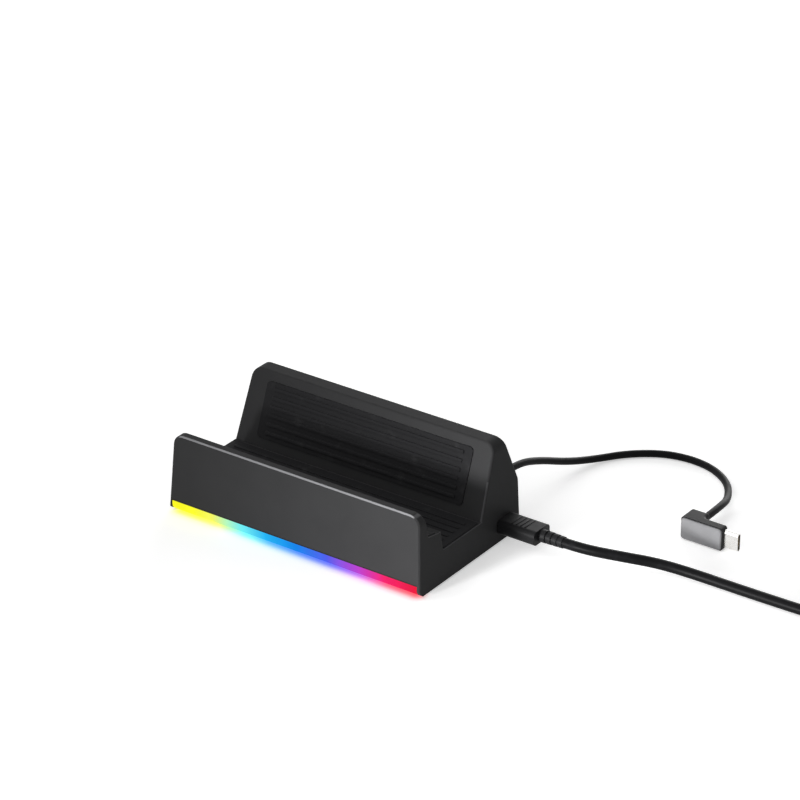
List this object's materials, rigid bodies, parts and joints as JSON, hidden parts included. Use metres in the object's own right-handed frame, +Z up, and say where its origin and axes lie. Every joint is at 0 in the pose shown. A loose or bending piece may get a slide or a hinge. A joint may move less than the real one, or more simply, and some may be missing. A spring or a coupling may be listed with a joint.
{
  "type": "handheld console dock",
  "caption": "Desk dock for a handheld game console: drafted cradle with a front plate over a lit foot strip, a stepped trough, a leaning backrest, ports along its back and a captive lead.",
  "frame": {"origin": "on the table under the middle of the dock", "axes": "+X along the dock to its power lead, +Y from the front plate to the ports, +Z up"},
  "size_m": [0.3174, 0.164, 0.046],
  "materials": {
    "housing": "satin",
    "cover": "matt",
    "silicone": "matt",
    "diffuser": "translucent, lit",
    "circuit_board": "solder mask",
    "light": "gloss",
    "rubber": "matt",
    "screw_steel": "blackened",
    "component": "matt",
    "port_shell": "plated",
    "port_moulding": "matt",
    "data_tongue": "matt",
    "contact": "plated",
    "lamp": "gloss",
    "button": "satin",
    "plug_moulding": "satin",
    "plug_face": "anodised satin",
    "plug_tip": "plated",
    "lead_jacket": "satin",
    "tie": "hook and loop"
  },
  "bodies": {
    "dock": {"housing": "housing", "rear_panel": "housing", "bottom_cover": "cover", "shelf_pad": "silicone", "trough_pad": "silicone", "rest_pad": "silicone", "light_bar": "diffuser", "light_board": "circuit_board", "main_board": "circuit_board", "lights": "light", "foot_front_left": "rubber", "foot_front_right": "rubber", "foot_rear_left": "rubber", "foot_rear_right": "rubber", "cover_screws": "screw_steel", "board_chips": "component", "light_switch": "component", "data_port_1": "port_shell", "data_port_2": "port_shell", "data_port_3": "port_shell", "video_port": "port_shell", "power_port": "port_shell", "network_port": "port_moulding", "video_tongue": "port_moulding", "power_tongue": "port_moulding", "data_tongue_1": "data_tongue", "data_tongue_2": "data_tongue", "data_tongue_3": "data_tongue", "network_contacts": "contact", "network_lamps": "lamp", "lead_gland": "plug_moulding", "console_plug_body": "plug_moulding", "power_plug_body": "plug_moulding", "far_plug_body": "plug_moulding", "console_plug_face": "plug_face", "console_plug_tip": "plug_tip", "power_plug_tip": "plug_tip", "far_plug_tip": "plug_tip", "console_lead": "lead_jacket", "power_lead": "lead_jacket", "power_lead_coil": "lead_jacket", "lead_tie": "tie"},
    "button": {"light_button": "button"}
  },
  "joints": [
    {"name": "light_button_press", "type": "slide", "parent": "dock", "child": "button", "axis": [0, -1, 0], "range_m": [0, 0.0004], "stiffness_N_per_m": 1500}
  ]
}
